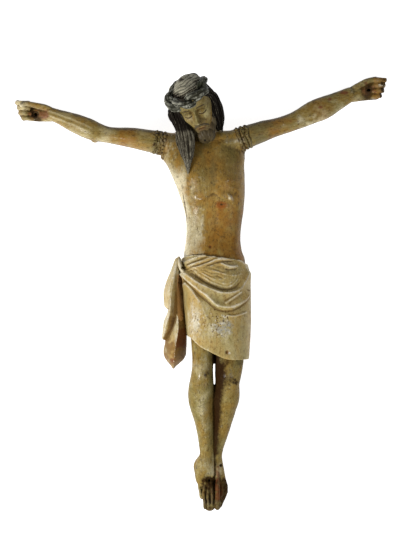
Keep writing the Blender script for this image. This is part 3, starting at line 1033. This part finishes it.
legs = Net(*carved([*legs_forms, *feet_forms, *toe_forms], 1.0))
x, y, z = legs.points.T
legs.soften(3)
legs.soften(12, ramp(y, -470, -430) * 0.9)
x, y, z = legs.points.T
facing = np.clip(legs.outward()[:, 2], 0, 1)
relief = 0.8 * tool_marks(legs.points)
for shin in ([(-19, -305), (-22, -335), (-15.7, -385), (-10, -448)],
             [(27, -305), (23.6, -333), (15.3, -385), (5, -450)]):
    off, _ = beside_line(x, y, shin)
    relief += facing * 0.9 * bump(off, 4.5) * ramp(-y, 318, 340) * ramp(y, -446, -425)
knee_y = -288
for knee_x in (-18, 28):
    away = np.hypot(x - knee_x, (y - knee_y) / 1.15)
    relief += facing * (0.8 * bump(away, 9) - 0.5 * bump(away - 15, 4)
                        - spots(x, y, (1, knee_x, knee_y - 20, 8)))
# Each toe has a nail with a groove round it and a crease over its joint.
for _, joint, tip, r in toes:
    away = np.hypot(x - tip[0], (y - tip[1] - 0.3 * r) / 1.2)
    relief += facing * (0.35 * ramp(-away, -0.55 * r, -0.3 * r) - 0.7 * bump(away - r * 0.62, 0.8)
                        - spots(x, y, (0.45, joint[0], joint[1], 1.1 * r, 1.1)))
# The nail hole, with its broken rim, and a small bored hole beside the ankle.
hole_x, hole_y = -6.5, -486
from_hole = np.hypot(x - hole_x, y - hole_y)
relief += facing * (2.4 * noise(legs.points, 5, 23) * bump(from_hole, 15) - 4 * bump(from_hole, 7))
relief -= spots(x, y, (4, 14.6, -458.6, 1.9))
legs.raise_by(relief)
x, y, z = legs.points.T
from_hole = np.hypot(x - hole_x, y - hole_y) + 2.5 * noise(legs.points, 5, 26)
legs.points[:, 2] -= 9 * ramp(-from_hole, -2.6, -1.2) * (facing > 0.25)
leg_paint = old_paint(
    "leg paint", (0.225, 0.142, 0.032), (0.165, 0.137, 0.045), (0.33, 0.265, 0.10), (0.55, 0.50, 0.33),
    (0.04, 0.022, 0.005), seed=7.9, sooty=0.95, wear=0.6, sheen=0.04,
    extra=[("shade", (0.015, 0.004, 0.0005), 0.97), ("blood", (0.14, 0.042, 0.015), 0.7),
           ("soot", (0.025, 0.014, 0.006), 0.9)])
# The inner side of the left leg was never cleaned and is nearly black. Old blood runs down one foot.
x, y, z = legs.points.T
stripe, stripe_share = beside_line(x, y, [(6, -456), (9, -485), (10, -515)])
inner = ramp(x, 0, 1.5) * ramp(-y, 250, 290) * ramp(y, -452, -436)
inner *= ramp(17 + 0.08 * np.minimum(y + 330, 30) - x + 1.5 * noise(legs.points, 14, 52), -14, 15)
finish_piece(
    "legs_and_feet", legs, "body", leg_paint, triangles=145000,
    sides=(0.6 - 0.3 * ramp(-x, 20, 30)) * (1 - inner),
    rub=(1 - 0.9 * bump(from_hole, 12)) * (1 - 0.5 * ramp(-y, 310, 330)),
    pale=0.1 - 0.32 * ramp(-y, 476, 500) + 0.5 * bump(y + 526, 8) + 0.2 * bump(y + 278, 12)
    - 0.2 * ramp(x, 5, 20)
    + spots(x, y, (0.25, -20, -360, 12, 50), (0.16, -14, -456, 20), (0.45, 12, -468, 14)),
    shine=0.9 * bump(np.hypot((x + 22.5) * 0.9 + (y + 288) * 0.35, (y + 288) / 4), 5)
    + spots(x, y, (0.8, 30, -297, 6)),
    shade=1.15 * inner + (0.45 + 1.1 * noise(legs.points, 6, 56)) * bump(from_hole, 13)
    + ramp(-y, 470, 488) * (0.13 + 0.42 * ramp(x, -27, -15)) + 0.15 * ramp(x, 14, 22) * ramp(-y, 460, 480)
    + 1.2 * bump(x - 2.5, 3) * ramp(y, -290, -276) + 0.5 * ramp(-y, 528, 536) * ramp(-z, -16, -10)
    + 0.4 * ramp(y, -285, -262) * (0.7 + noise(legs.points, 12, 27)) + spots(x, y, (0.5, -12, -288, 9))
    + 0.2 * ramp(y - cloth_hem(x)[..., 0], -70, -10) * ramp(x, -4, 4)
    + (1 + noise(legs.points, 7, 57)) * spots(x, y, (0.38, 32, -302, 12, 15)),
    blood=(0.7 + 1.3 * noise(legs.points, 7, 53)) * bump(stripe, 6) * ramp(stripe_share, 0, 0.1)
    + 0.3 * ramp(-y, 484, 506),
    soot=0.9 * bump(from_hole, 6) + spots(x, y, (0.9, -14, -292, 4), (2.6, 14.6, -458.6, 2.2))
    + (0.8 + 1.5 * noise(legs.points, 5, 46)) * spots(x, y, (0.9, 41, -304, 7)))


# The arms: each of its own piece of limewood, glued and filled at the shoulder. The right hand is closed over
# its nail hole; the left hand has lost its thumb and the ends of its fingers.
def finger(points, radius, ends=(True, True)):
    """A finger that bends in the plane square to the palm's width, thicker at its joints."""
    return member(points, [[0, radius, radius], [0.3, radius * 0.88, radius * 0.9],
                           [0.5, radius * 1.04, radius * 1.04], [0.75, radius * 0.86, radius * 0.88],
                           [1, radius * 0.85, radius * 0.85]],
                  sides=28, steps=50, ends=ends, bend=(0, 1, 0))


def arm_skin(joint, way, points, sections, rest, palm):
    """The skin of an arm and its hand, softened where the forms of the hand meet."""
    limb = member([joint, joint + 14 * way, *points], sections, sides=90, steps=150, ends=(False, True))
    net = Net(*carved([limb, *rest], 0.9))
    net.soften(3)
    x, y, z = net.points.T
    past = (net.points - joint) @ way
    net.soften(8, ramp(past, 150, 170) * ramp(-np.hypot(x - palm[0], y - palm[1]), -46, -30))
    return net


def drilled(net, palm):
    """Sinks a ragged nail hole some 6 mm across into the palm, with a rough rim."""
    x, y, z = net.points.T
    facing = net.outward()[:, 2]
    away = np.hypot(x - palm[0], y - palm[1])
    net.raise_by(1.2 * np.clip(facing, 0, 1) * noise(net.points, 5, 23) * bump(away, 14))
    sunk = 12 * ramp(-away - 2.5 * noise(net.points, 5, 26), -3.4, -2.3) * (facing > 0.2)
    net.points[:, 2] = np.maximum(net.points[:, 2] - sunk, 1.0)


right_palm, left_palm = (-325, 185), (285, 229)
curled = [finger([(end + 20, 205 - 9.5 * i, 10), (end + 4, 206 - 9.5 * i, 10), (end, 206 - 9.5 * i, 19),
                  (end + 6, 206 - 9.5 * i, 28), (end + 17, 204.5 - 9.5 * i, 27)], 4.9)
          for i, end in enumerate((-358, -355, -352.5, -347))]
right_hand = [
    member([(-296, 184, 17), (-322, 187, 11), (-344, 190, 10)],
           [[0, 13, 11], [0.5, 15.5, 13], [1, 16, 11.5]]),
    member([(-286, 188, 18), (-304, 195, 21), (-326, 201, 25), (-343, 204, 31), (-351, 201, 35)],
           [[0, 4, 5], [0.3, 6.4, 7], [.6, 5.5, 5.5], [1, 4, 4]]),
    *curled]
elbow = member([(-216, 140, 30), (-216, 147, 30)], [[0, 8, 8], [1, 8, 8]])
right_arm = arm_skin(
    right_joint, right_way,
    [(-147, 141, 39), (-191, 146.5, 35), (-213, 152, 34), (-235, 161, 32), (-257, 170, 28), (-279, 179, 23),
     (-296, 185, 20)],
    [[0, 21.5, 19], [0.07, 20.6, 19], [0.24, 18.6, 18], [0.45, 15, 16], [0.56, 17.3, 17], [0.63, 18.6, 16.5],
     [0.7, 18.4, 16], [0.8, 16.7, 14], [0.91, 13.4, 12], [1, 12, 10.5]],
    [elbow, *right_hand], right_palm)
stubs = [finger([(288, 243.5 - 8.8 * i, 12), (295, 246.5 - 9.8 * i, 22), (304, 247.5 - 9.8 * i, 25),
                 (318 - 2.6 * i - 3 * (i == 3), 247.5 - 9.8 * i, 20)], 5.1, (True, False)) for i in range(4)]
left_hand = [
    member([(254, 220.5, 17), (276, 227.5, 11), (298, 230.5, 10)],
           [[0, 14, 11], [0.5, 18, 13], [1, 19, 11.5]]),
    member([(262, 233, 20), (282, 245, 22), (298, 249.5, 22)], [[0, 7, 7], [1, 4.5, 5]]), *stubs]
left_arm = arm_skin(
    left_joint, left_way,
    [(94, 154, 40), (138, 167.5, 36), (160, 176.7, 34), (182, 187.6, 32), (204, 196.8, 29), (226, 207.8, 25),
     (252, 221.5, 20)],
    [[0, 21.5, 19], [.07, 20.3, 19], [.18, 19, 18], [.29, 16.6, 16.5], [.45, 16.6, 16], [.57, 18.9, 16.5],
     [.65, 20.7, 16.5], [.74, 20.6, 15.5], [.86, 17, 13.5], [.93, 15, 12], [1, 13.5, 10.5]],
    left_hand, left_palm)

clear = 0.05  # how far, in millimetres, an arm's end face stays off the trunk's
for name, net, joint, way, ridges, palm, line, colours, seed in (
        ("right_arm", right_arm, right_joint, right_way, right_ridges, right_palm,
         [(-98, 132), (-147, 141), (-213, 152), (-257, 170), (-300, 186)],
         ((0.26, 0.150, 0.030), (0.19, 0.147, 0.046), (0.33, 0.25, 0.09)), 9.1),
        ("left_arm", left_arm, left_joint, left_way, left_ridges, left_palm,
         [(57, 141), (94, 154), (160, 176.7), (204, 196.8), (256, 222)],
         ((0.215, 0.136, 0.031), (0.145, 0.126, 0.044), (0.32, 0.26, 0.10)), 11.7)):
    # Two sinews down the forearm, the muscle of the upper arm, the bend of the elbow, the cup of the palm.
    x, y, z = net.points.T
    facing = np.clip(net.outward()[:, 2], 0, 1)
    middle, share = beside_line(x, y, line)
    relief = 0.9 * tool_marks(net.points) + crumbled(net.points, joint, way, ridges)
    relief += facing * (0.6 * bump(middle - 3, 3.4) + 0.5 * bump(middle + 5, 3.0)) * ramp(share, 0.55, 0.75)
    relief += 1.6 * facing * (bump(middle - 1, 8) * bump(share - 0.28, 0.16)
                              - bump(middle, 9) * bump(share - 0.53, 0.035))
    relief -= 1.4 * facing * bump(np.hypot(x - palm[0], y - palm[1]) - 12, 5)
    net.raise_by(relief)
    drilled(net, palm)
    short = np.maximum(clear - (net.points - joint) @ way, 0)
    net.points += short[:, None] * way

    arm_paint = old_paint(
        name + " paint", *colours, (0.54, 0.47, 0.28), flesh_dirt, seed=seed, grain=(0.22, 1.0, 1.0),
        sooty=0.95, sheen=0.08,
        extra=[("ochre", (0.245, 0.103, 0.012), 0.65), ("olive", (0.115, 0.098, 0.042), 0.6),
               ("dust", (0.050, 0.042, 0.020), 0.7), ("blood", (0.15, 0.034, 0.014), 0.75),
               ("soot", (0.028, 0.016, 0.007), 0.92)])
    x, y, z = net.points.T
    across, upper = net.outward()[:, :2].T
    joints = beside_joint(net.points, joint, way)
    away = np.hypot(x - palm[0], y - palm[1])
    hand = ramp(share, 0.9, 1.0)
    ochre = (0.6 + 0.9 * noise(net.points, 16, 29)) * bump(share - 0.28, 0.16)
    olive = 0.9 * joints
    pale = 0.3 * ramp(-upper, 0.1, 0.9) - 0.3 * joints + 0.04 * hand
    soot = 0.8 * ramp(-away, -7.5, -3.6) + 0.8 * joints * ramp(noise(net.points, 5, 3), 0.08, 0.2)
    # The right forearm was cleaned along its sinews. The left arm is dirtier, above all at the hand.
    if name == "right_arm":
        ochre += 0.15 * joints
        pale += 0.13 + 0.3 * bump(share - 0.47, 0.06) - 0.2 * bump(share - 0.57, 0.04)
        pale += 0.16 * bump(share - 0.75, 0.13)
        pale += 0.35 * (bump(middle + 4, 1.8) + bump(middle - 4, 1.6)) * ramp(share, 0.55, 0.65)
    else:
        ochre += 0.7 * ramp(x, 290, 297) + 0.5 * bump(share - 0.7, 0.12)
        olive += (0.8 + 1.2 * noise(net.points, 12, 47)) * bump(share - 0.1, 0.2)
        pale += (0.2 + 0.6 * noise(net.points, 8, 49)) * bump(share - 0.6, 0.2)
        pale += 0.27 * ramp(share, 0.4, 0.6) - 0.18
        soot += 0.35 * hand
    finish_piece(
        name + "_wood", net, name, arm_paint, triangles=78000,
        sides=0.7, rub=(1 - 0.75 * joints) * (1 - 0.8 * bump(away, 11)),
        ochre=ochre, olive=olive,
        pale=pale + spots(x, y, (0.5, 159, 175, 7), (0.5, -352, 200, 12)),
        dust=ramp(upper, 0.45, 0.95) * (0.75 + 0.8 * noise(net.points, 9, 28)),
        shine=0.2 * ramp(-upper, 0.1, 0.6) * (share < 0.9) + spots(x, y, (0.9, 159, 175, 6)),
        blood=np.clip((0.75 + 1.2 * noise(net.points, 8, 24)) * bump(away - 3, 13)
                      + spots(x, y, (0.9, -307, 183, 8), (1, 240, 224, 9.6, 4), (1, 214, 212, 3.4),
                              (0.8, 196, 197, 5.6, 3.5), (0.6, 142, 172, 4)), 0, 1),
        soot=soot + 0.9 * bump(away, 18) * ramp(-z, -25, -18) + spots(x, y, (0.5, -328, 179, 14.4, 9))
        + 1.2 * ramp(across, 0.3, 0.7) * ramp(x, 304, 308))
